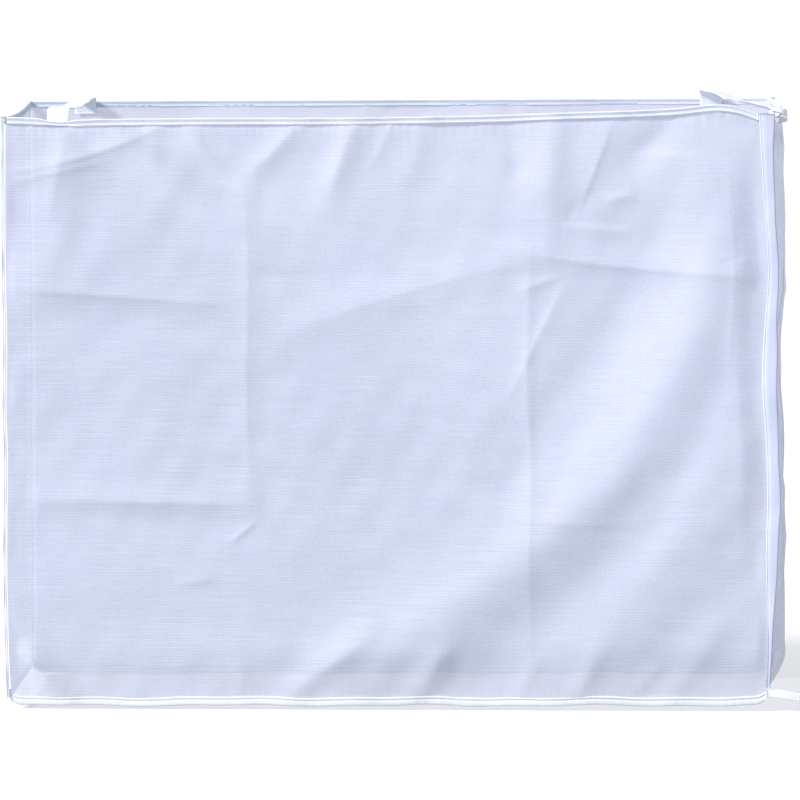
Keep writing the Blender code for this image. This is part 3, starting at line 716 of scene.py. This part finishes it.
def side_set(x_side):
    """A side panel with its bindings."""
    word, seed = ("left", 30) if x_side < 0 else ("right", 40)

    def point(share, height, fine=0.0):
        return side_point(x_side, share, height, fine)

    def top(share):
        return side_top(x_side, share)

    def bottom(share):
        return side_bottom(x_side, share)

    return bound_panel(
        word, point, top, bottom, DEPTH, (SIDE_COLUMNS, SIDE_ROWS), SIDE_CREASES,
        SIDE_UNEVEN, seed, (float(x_side), 0.0, 0.0),
    )


# Cross-sections of the seam tapes: how far out along the tape, in shares of its width, and how
# thick it is there, in shares of its thickness
Swell = namedtuple("Swell", "reach thick")
PIPING_SWELLS = rows_of(
    Swell,
    (0.00, 0.50), (0.18, 0.62), (0.34, 0.45), (0.46, 0.62),
    (0.58, 1.00), (0.72, 1.18), (0.86, 1.05), (0.95, 0.66), (1.00, 0.20),
)
FLAP_SWELLS = rows_of(
    Swell,
    (0.00, 0.60), (0.03, 0.95), (0.08, 1.00), (0.12, 0.60), (0.17, 0.30),
    (0.33, 0.30), (0.40, 0.70), (0.47, 0.94), (0.66, 0.90), (0.84, 0.90),
    (0.94, 1.02), (0.98, 0.80), (1.00, 0.25),
)
# How a seam tape turns about its seam, in radians, and waves, over what lengths
TAPE_TURN, TAPE_TURN_PITCH = 0.10, 0.120
TAPE_WAVE, TAPE_WAVE_PITCH = 0.0005, 0.045


def corner_tape(corner, seed):
    """The tape over one upright seam, with its rolled edge and a slight wave. The wide one runs
    up to the top edge, past its solid, so that no gap shows at the end of the top casing."""
    flap = corner.name == "seam_front_right"
    swells = FLAP_SWELLS if flap else PIPING_SWELLS
    front = corner.y_side < 0
    top = float(top_edge(np.array(0.0 if corner.x_side < 0 else WIDTH), front))
    low = -HEIGHT + corner.low_end
    height = np.linspace(low, top, TAPE_ROWS + 1)
    x = seam_x(corner.x_side, -height, front)
    y = seam_y(corner.y_side, -height)
    width = along(corner.widths, -height)
    turn = corner.out_angle + TAPE_TURN * ripples(height, 0.0, seed, TAPE_TURN_PITCH, 5, 0.6)
    wave = TAPE_WAVE * ripples(height, 0.0, seed + 1, TAPE_WAVE_PITCH, 6, 0.6)
    out = np.stack([np.cos(turn), np.sin(turn)], axis=1)
    beside = np.stack([-out[:, 1], out[:, 0]], axis=1)
    loops = []
    for face in (-0.5, 0.5):
        for swell in swells if face < 0 else swells[::-1]:
            reach = corner.start + swell.reach * width
            shift = face * swell.thick * TAPE_THICK + wave * swell.reach
            flat = out * reach[:, None] + beside * shift[:, None]
            loops.append(np.stack([x + flat[:, 0], y + flat[:, 1], height], axis=1))
    grid = np.stack(loops, axis=1)
    around = lengths_along(np.concatenate([grid[0], grid[0][:1]]))
    slot = "flap" if flap else "binding"
    tape = skin("tape_" + corner.name[5:], grid, height, around, slot, closed=True, flip=True)
    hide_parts(corner.name)
    return tape


def smooth_line(stations, step):
    """Stations along a smooth curve through a table of them, about one step apart."""
    line = []
    last = len(stations) - 1
    for index in range(last):
        near = [stations[min(max(index + k, 0), last)] for k in (-1, 0, 1, 2)]
        length = (Vector(near[2][:3]) - Vector(near[1][:3])).length
        count = max(2, round(length / step))
        for part in range(count):
            t = part / count
            weights = (
                (-t + 2 * t * t - t**3) / 2,
                (2 - 5 * t * t + 3 * t**3) / 2,
                (t + 4 * t * t - 3 * t**3) / 2,
                (t**3 - t * t) / 2,
            )
            line.append(Station(*(sum(w * v for w, v in zip(weights, c)) for c in zip(*near))))
    line.append(stations[-1])
    return line


RIBBON_ACROSS = 24
# How square a ribbon's edges are, how thin they get, and how deep its ribs are, in shares
RIBBON_SQUARE = 6
RIBBON_EDGE = 0.15
RIB_DEPTH = 0.10
# Its pleats where it is gathered: how high a share, how many across, and how fast they drift
Pleat = namedtuple("Pleat", "size across drift")
RIBBON_PLEATS = (Pleat(1.0, 1.5, 20), Pleat(0.5, 3.2, -34))
RIBBON_WAVE, RIBBON_WAVE_DRIFT, RIBBON_WAVE_ACROSS = 0.0003, 90, 3


def ribbon(name, stations, thick, level, slot, ribs, full_width, pleat, seed):
    """A flat strap along a smooth line, ribbed along its length, pleated where it is gathered."""
    line = smooth_line(stations, RIBBON_STEP)
    draw = np.random.default_rng(seed)
    phases = draw.random(4) * 2 * np.pi
    shares = np.linspace(-0.5, 0.5, RIBBON_ACROSS + 1)
    full = np.sqrt(np.clip(1 - (np.abs(shares) * 2) ** RIBBON_SQUARE, 0.0, 1.0))
    rounded = full * (1 - RIBBON_EDGE) + RIBBON_EDGE
    rings = []
    run = lengths_along(np.array([at[:3] for at in line]))
    for index, at in enumerate(line):
        before = Vector(line[max(index - 1, 0)][:3])
        after = Vector(line[min(index + 1, len(line) - 1)][:3])
        ahead = (after - before).normalized()
        across = (Vector(level) - Vector(level).project(ahead)).normalized()
        across.rotate(Quaternion(ahead, at.roll))
        through = np.array(ahead.cross(across))
        gathered = max(0.0, 1 - at.width / full_width)
        fold = 0.0
        for row, phase in zip(RIBBON_PLEATS, phases):
            turned = shares * 2 * np.pi * row.across + phase + run[index] * row.drift
            fold = fold + row.size * np.sin(turned)
        shift = pleat * gathered * fold
        drifted = run[index] * RIBBON_WAVE_DRIFT + phases[2] + shares * RIBBON_WAVE_ACROSS
        shift += RIBBON_WAVE * np.sin(drifted)
        rib = RIB_DEPTH * np.cos(shares * 2 * np.pi * ribs)
        half = thick / 2 * rounded * (1 + rib)
        middle = np.array(at[:3]) + np.multiply.outer(shares * at.width, np.array(across))
        upper = middle + np.multiply.outer(shift + half, through)
        lower = middle + np.multiply.outer(shift - half, through)
        rings.append(np.concatenate([lower, upper[::-1]]))
    grid = np.stack(rings)
    around = np.concatenate([shares, shares[::-1], shares[:1]]) * full_width
    return skin(name, grid, run, around, slot, closed=True, flip=True)


STRAP_RIBS, STRAP_PLEAT = 8, 0.002
TIE_RIBS, TIE_WIDTH = 2, 0.009
TAIL_RIBS, TAIL_WIDTH, TAIL_PLEAT = 3, 0.0075, 0.001


def strap(word, stations, seed):
    """One webbing strap over the open top."""
    made = ribbon(
        "webbing_" + word, stations, STRAP_THICK, (1, 0, 0), "webbing", STRAP_RIBS,
        STRAP_WIDTH, STRAP_PLEAT, seed,
    )
    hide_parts("strap_" + word)
    return made


KNOT_TURNS = 48
KNOT_RINGS = 30
KNOT_POLE = 0.06
KNOT_CREASE = 0.07
KNOT_TAIL = rows_of(
    Station,
    (0.4330, -0.1480, 0.0075, 0.0060, 0.5),
    (0.4390, -0.1500, 0.0072, 0.0070, 0.5),
    (0.4450, -0.1500, 0.0048, 0.0070, 0.5),
    (0.4490, -0.1490, -0.0005, 0.0060, 0.4),
)


def knot():
    """The gathered end of the right strap: a lump with soft creases and a short tail over it."""
    turn, tilt = np.meshgrid(
        np.linspace(0, 2 * np.pi, KNOT_TURNS, endpoint=False),
        np.linspace(KNOT_POLE, np.pi - KNOT_POLE, KNOT_RINGS),
    )
    flat = np.sin(tilt)
    ball = np.stack([flat * np.cos(turn), np.cos(tilt), flat * np.sin(turn)], axis=-1)
    ripple = 1 - KNOT_RIPPLE * (0.5 + 0.5 * np.cos(4 * turn + 3 * ball[..., 1]))
    ripple *= 1 + KNOT_CREASE * np.sin(9 * turn + 5 * ball[..., 1] + 1.0)
    grid = ball * ripple[..., None] * np.array(KNOT_RADII) + np.array(KNOT_AT)
    run = np.linspace(0, np.pi * KNOT_RADII[1], KNOT_RINGS)
    around = np.linspace(0, 2 * np.pi * KNOT_RADII[0], KNOT_TURNS + 1)
    lump = skin("strap_bunch", grid, run, around, "webbing", closed=True, flip=False)
    tail = ribbon(
        "strap_tail", KNOT_TAIL, TIE_THICK, (0, 1, 0), "webbing", TAIL_RIBS,
        TAIL_WIDTH, TAIL_PLEAT, 71,
    )
    bunch = joined("strap_bunch", [lump, tail])
    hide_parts("strap_end")
    return bunch


def feed(tree, made, inputs):
    """Fill a shader node's inputs, given as values or as sockets to link."""
    for name, value in inputs.items():
        if isinstance(value, bpy.types.NodeSocket):
            tree.links.new(value, made.inputs[name])
        else:
            made.inputs[name].default_value = value


def node(tree, kind, inputs=None, **settings):
    """A new shader node with its inputs."""
    made = tree.nodes.new(kind)
    for name, value in settings.items():
        setattr(made, name, value)
    feed(tree, made, inputs or {})
    return made


def sums(tree, operation, *values, clamp=False):
    inputs = dict(enumerate(values))
    return node(tree, "ShaderNodeMath", inputs, operation=operation, use_clamp=clamp).outputs[0]


def spread(tree, value, low, high, to_low, to_high):
    """A value between two others, moved to between two more."""
    inputs = {
        "Value": value, "From Min": low, "From Max": high, "To Min": to_low, "To Max": to_high
    }
    return node(tree, "ShaderNodeMapRange", inputs, interpolation_type="SMOOTHSTEP").outputs[0]


def blended(tree, share, first, second):
    """Two colours mixed by a share."""
    both = [c if isinstance(c, bpy.types.NodeSocket) else (*c, 1.0) for c in (first, second)]
    inputs = {0: share, 6: both[0], 7: both[1]}
    return node(tree, "ShaderNodeMix", inputs, data_type="RGBA").outputs[2]


def new_material(name):
    """A material, its shader, and the place on the cloth, whole and along each way."""
    made = bpy.data.materials.new(name)
    made.use_nodes = True
    tree = made.node_tree
    MATERIALS[name] = made
    shader = tree.nodes["Principled BSDF"]
    place = node(tree, "ShaderNodeUVMap", uv_map="cloth").outputs[0]
    split = node(tree, "ShaderNodeSeparateXYZ", {0: place})
    return tree, shader, place, split.outputs[0], split.outputs[1]


# Soft noise: how many lumps a metre along each way of the cloth, its detail and its seed
Noise = namedtuple("Noise", "run reach detail seed")
DRIFT_NOISE = Noise(60.0, 60.0, 2.0, 3.0)
STREAK_NOISE = Noise(14.0, 620.0, 3.0, 11.0)
SLUB_NOISE = Noise(420.0, 14.0, 2.0, 17.0)
CLOUD_NOISE = Noise(7.0, 7.0, 3.0, 23.0)
TAPE_NOISE = Noise(40.0, 160.0, 3.0, 5.0)


def stretched(tree, place, noise):
    """Soft noise over the cloth, 0 to 1."""
    mapped = node(
        tree, "ShaderNodeMapping",
        {"Vector": place, "Scale": (noise.run, noise.reach, 1.0), "Location": (noise.seed,) * 3},
    )
    inputs = {"Vector": mapped.outputs[0], "Scale": 1.0, "Detail": noise.detail}
    return node(tree, "ShaderNodeTexNoise", inputs).outputs[0]


def wave(tree, value, pitch):
    """A cosine of a length, 0 to 1, once for each pitch."""
    turned = sums(tree, "MULTIPLY", value, 2 * math.pi / pitch)
    return sums(tree, "MULTIPLY_ADD", sums(tree, "COSINE", turned), 0.5, 0.5)


# The mesh: how far its threads wander, how strong its warp is beside its weft, how solid its gaps
# are, and what its threads, streaks and slubs add to that
THREAD_DRIFT = 0.0012
WARP_SHARE = 0.86
GAP_COVER, WEFT_COVER, WARP_COVER = 0.64, 0.12, 0.06
STREAK_COVER, SLUB_COVER = 0.30, 0.10
MESH_TONES = ((0.680, 0.715, 0.850), (0.705, 0.740, 0.860))
THIN_STREAK_TONE = (0.640, 0.675, 0.830)


def mesh_material():
    """Fine sheer mesh: two sets of threads with gaps between, streaky along the weft."""
    tree, shader, place, run, reach = new_material("mesh")
    drift = stretched(tree, place, DRIFT_NOISE)
    run = sums(tree, "MULTIPLY_ADD", drift, THREAD_DRIFT, run)
    reach = sums(tree, "MULTIPLY_ADD", drift, -THREAD_DRIFT, reach)
    warp = wave(tree, run, THREAD_PITCH)
    weft = wave(tree, reach, THREAD_PITCH)
    threads = sums(tree, "MAXIMUM", sums(tree, "MULTIPLY", warp, WARP_SHARE), weft)
    streaks = stretched(tree, place, STREAK_NOISE)
    slubs = stretched(tree, place, SLUB_NOISE)
    cloud = stretched(tree, place, CLOUD_NOISE)
    cover = sums(tree, "MULTIPLY_ADD", weft, WEFT_COVER, GAP_COVER)
    cover = sums(tree, "MULTIPLY_ADD", warp, WARP_COVER, cover)
    streaked = sums(tree, "MULTIPLY_ADD", streaks, STREAK_COVER, -STREAK_COVER / 2)
    slubbed = sums(tree, "MULTIPLY_ADD", slubs, SLUB_COVER, -SLUB_COVER / 2)
    cover = sums(tree, "ADD", sums(tree, "ADD", cover, streaked), slubbed, clamp=True)
    tone = blended(tree, spread(tree, cloud, 0.35, 0.65, 0.0, 1.0), *MESH_TONES)
    tone = blended(tree, spread(tree, streaks, 0.25, 0.75, 0.0, 1.0), THIN_STREAK_TONE, tone)
    height = sums(tree, "ADD", threads, sums(tree, "MULTIPLY", streaks, 0.8))
    relief = {"Strength": 0.35, "Distance": 0.0004, "Height": height}
    feed(tree, shader, {
        "Alpha": cover,
        "Base Color": tone,
        "Roughness": spread(tree, threads, 0.0, 1.0, 0.85, 0.62),
        "Normal": node(tree, "ShaderNodeBump", relief).outputs[0],
        "Sheen Weight": 0.12,
        "Sheen Roughness": 0.45,
        "Specular IOR Level": 0.25,
    })


# How white the wide corner tape is: its white ridge, a groove beside that darkened with painted
# shade, then plain mesh
FLAP_RIDGE = 0.0020
FLAP_SHADED_GROOVE = 0.0062
FLAP_PLAIN = 0.35


def flap_ridge_and_shade(tree, run, reach):
    """How white the wide corner tape is, from its ridge to its outer edge, with painted shade in
    the groove beside the ridge.
    """
    ridge = spread(tree, reach, FLAP_RIDGE - 0.0008, FLAP_RIDGE, 1.0, 0.0)
    # Between the ridge and the plain mesh the share stays 0: painted shade in the groove
    plain = spread(tree, reach, FLAP_SHADED_GROOVE - 0.0010, FLAP_SHADED_GROOVE, 0.0, FLAP_PLAIN)
    return sums(tree, "MAXIMUM", ridge, plain)


# Where the top casing turns plain white, with no darker trough and no painted shade, towards the
# right front corner
HEM_PLAIN_FROM = 0.780


def hem_ridges_and_shade(tree, run, reach):
    """Where the top casing is white: on its two ridges. The trough between them is darker, partly
    its sheer middle between the stitched edges and partly painted shade.
    """
    around = lengths_along(
        np.array([(rim.out * TOP_BAND_THICK, rim.up * TOP_BAND) for rim in TOP_RIM + TOP_RIM[:1]])
    )
    ridges = spread(tree, wave(tree, reach, around[-1] / 2), 0.12, 0.45, 0.0, 1.0)
    plain = spread(tree, run, HEM_PLAIN_FROM, HEM_PLAIN_FROM + 0.02, 0.0, 1.0)
    return sums(tree, "MAXIMUM", ridges, plain)


# The tapes: colour, the dark between threads, which on the hem and the flap is also the painted
# shade in their trough and groove, pitches of ribs and threads, relief, where white and where
# painted shade darkens it
Tape = namedtuple("Tape", "colour dark rib_pitch thread_pitch relief white")
TAPES = {
    "binding": Tape((0.91, 0.945, 0.97), (0.76, 0.80, 0.88), 0.0009, 0.0012, 0.00012, None),
    # The hem's and the flap's dark colours also paint the shade in their trough and groove
    "hem": Tape((0.86, 0.90, 0.96), (0.66, 0.70, 0.84), 0.0009, 0.0012, 0.00012, hem_ridges_and_shade),
    "flap": Tape((0.82, 0.86, 0.96), (0.50, 0.53, 0.68), 0.0018, 0.0018, 0.00012, flap_ridge_and_shade),
    "webbing": Tape((0.93, 0.96, 0.98), (0.80, 0.84, 0.90), 0.0021, 0.0018, 0.00025, None),
}


def tape_material(name, tape):
    """Woven tape: close ribs with threads over them."""
    tree, shader, place, run, reach = new_material(name)
    ribs = wave(tree, reach, tape.rib_pitch)
    threads = wave(tree, sums(tree, "ADD", run, reach), tape.thread_pitch)
    cloud = stretched(tree, place, TAPE_NOISE)
    woven = sums(tree, "MULTIPLY", ribs, sums(tree, "MULTIPLY_ADD", threads, 0.5, 0.5))
    clouds = spread(tree, cloud, 0.2, 0.7, 0.7, 1.0)
    share = sums(tree, "MULTIPLY", spread(tree, woven, 0.0, 0.8, 0.55, 1.0), clouds)
    # On the hem this darkens the trough, partly its sheer middle and partly painted shade; on the
    # flap it darkens the groove beside the ridge with painted shade
    if tape.white:
        white_or_shaded = tape.white(tree, run, reach)
        share = sums(tree, "MULTIPLY", share, sums(tree, "MULTIPLY_ADD", white_or_shaded, 0.9, 0.1))
    height = sums(tree, "MULTIPLY_ADD", woven, 1.0, cloud)
    relief = {"Strength": 0.5, "Distance": tape.relief, "Height": height}
    feed(tree, shader, {
        "Base Color": blended(tree, share, tape.dark, tape.colour),
        "Roughness": spread(tree, woven, 0.0, 1.0, 0.85, 0.60),
        "Normal": node(tree, "ShaderNodeBump", relief).outputs[0],
        "Sheen Weight": 0.10,
        "Sheen Roughness": 0.40,
        "Specular IOR Level": 0.30,
    })


def materials():
    mesh_material()
    for name, tape in TAPES.items():
        tape_material(name, tape)


# The camera stands a little to the right and a little above, far off with a long lens
CAMERA_DISTANCE = 10.0
CAMERA_AZIMUTH = math.radians(2.7)
CAMERA_ELEVATION = math.radians(5.1)
CAMERA_ROLL = math.radians(0.12)
AIM = Vector((0.0155, -DEPTH / 2, -0.3192))
SENSOR = 36.0
VIEW_WIDTH = 0.8995

FLOOR_SIZE = 400.0
FLOOR_DROP = 0.006
SUN_FROM = Vector((-3.0, -1.5, 2.4))
SUN_STRENGTH = 3.45
SUN_SPREAD = math.radians(12)
SKY_COLOUR = (0.88, 0.91, 1.0)
SKY_STRENGTH = 0.60
FILL_FROM = Vector((-2.0, -1.9, -0.25))
FILL_AT = Vector((-0.35, -0.16, -0.50))
FILL_STRENGTH = 13.0
FILL_COLOUR = (0.88, 0.94, 1.00)
FILL_SIZE = 1.2
FLOOR_COLOUR = (0.56, 0.56, 0.56)
FLOOR_GLOW = 0.42


def camera():
    data = bpy.data.cameras.new("camera")
    data.sensor_width = SENSOR
    data.lens = SENSOR * CAMERA_DISTANCE / VIEW_WIDTH
    data.clip_end = 1000.0
    seen = add_object("camera", data)
    flat = math.cos(CAMERA_ELEVATION)
    away = Vector((
        math.sin(CAMERA_AZIMUTH) * flat,
        -math.cos(CAMERA_AZIMUTH) * flat,
        math.sin(CAMERA_ELEVATION),
    ))
    seen.location = AIM + away * CAMERA_DISTANCE
    level = away.to_track_quat("Z", "Y")
    seen.rotation_euler = (Quaternion(away, -CAMERA_ROLL) @ level).to_euler()
    bpy.context.scene.camera = seen


def lamp(name, kind, at, towards, **settings):
    """A light at a place, turned towards another."""
    light = bpy.data.lights.new(name, kind)
    for key, value in settings.items():
        setattr(light, key, value)
    made = add_object(name, light)
    made.rotation_euler = (at - towards).to_track_quat("Z", "Y").to_euler()
    made.location = at


def stage():
    """A wide pale floor just under the hem, a soft key light and an even sky."""
    half = FLOOR_SIZE / 2
    level = -HEIGHT - FLOOR_DROP
    mesh = bpy.data.meshes.new("floor")
    turns = ((-half, -half), (half, -half), (half, half), (-half, half))
    mesh.from_pydata([(x, y, level) for x, y in turns], [], [(0, 1, 2, 3)])
    paint = bpy.data.materials.new("floor")
    paint.use_nodes = True
    feed(paint.node_tree, paint.node_tree.nodes["Principled BSDF"], {
        "Base Color": (*FLOOR_COLOUR, 1.0),
        "Roughness": 0.9,
        "Specular IOR Level": 0.0,
        "Emission Color": (1.0, 1.0, 1.0, 1.0),
        "Emission Strength": FLOOR_GLOW,
    })
    mesh.materials.append(paint)
    floor = add_object("floor", mesh)
    floor.visible_diffuse = False

    lamp("key", "SUN", SUN_FROM, Vector(), energy=SUN_STRENGTH, angle=SUN_SPREAD)
    lamp(
        "fill", "AREA", FILL_FROM, FILL_AT,
        energy=FILL_STRENGTH, color=FILL_COLOUR, size=FILL_SIZE,
    )

    world = bpy.data.worlds.new("sky")
    world.use_nodes = True
    sky = {"Color": (*SKY_COLOUR, 1.0), "Strength": SKY_STRENGTH}
    feed(world.node_tree, world.node_tree.nodes["Background"], sky)
    bpy.context.scene.world = world
    bpy.context.scene.view_settings.view_transform = "Standard"
    bpy.context.scene.view_settings.look = "None"


def main():
    materials()
    camera()
    front, front_trim = wide_set(True)
    back, back_trim = wide_set(False)
    left, left_trim = side_set(-1)
    right, right_trim = side_set(1)
    tapes = {corner.name: corner_tape(corner, 50 + 2 * k) for k, corner in enumerate(CORNERS)}
    strap_left = strap("left", LEFT_STRAP, 61)
    strap_right = strap("right", RIGHT_STRAP, 62)
    tie = ribbon("ribbon_end", TIE, TIE_THICK, (0, 0, 1), "binding", TIE_RIBS, TIE_WIDTH, 0.0, 63)
    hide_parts("tie_end")
    bunch = knot()

    front_trim += [tapes["seam_front_left"], tapes["seam_front_right"], strap_left, tie]
    back_trim += [tapes["seam_back_left"], tapes["seam_back_right"], strap_right]
    right_trim.append(bunch)
    stage()


main()
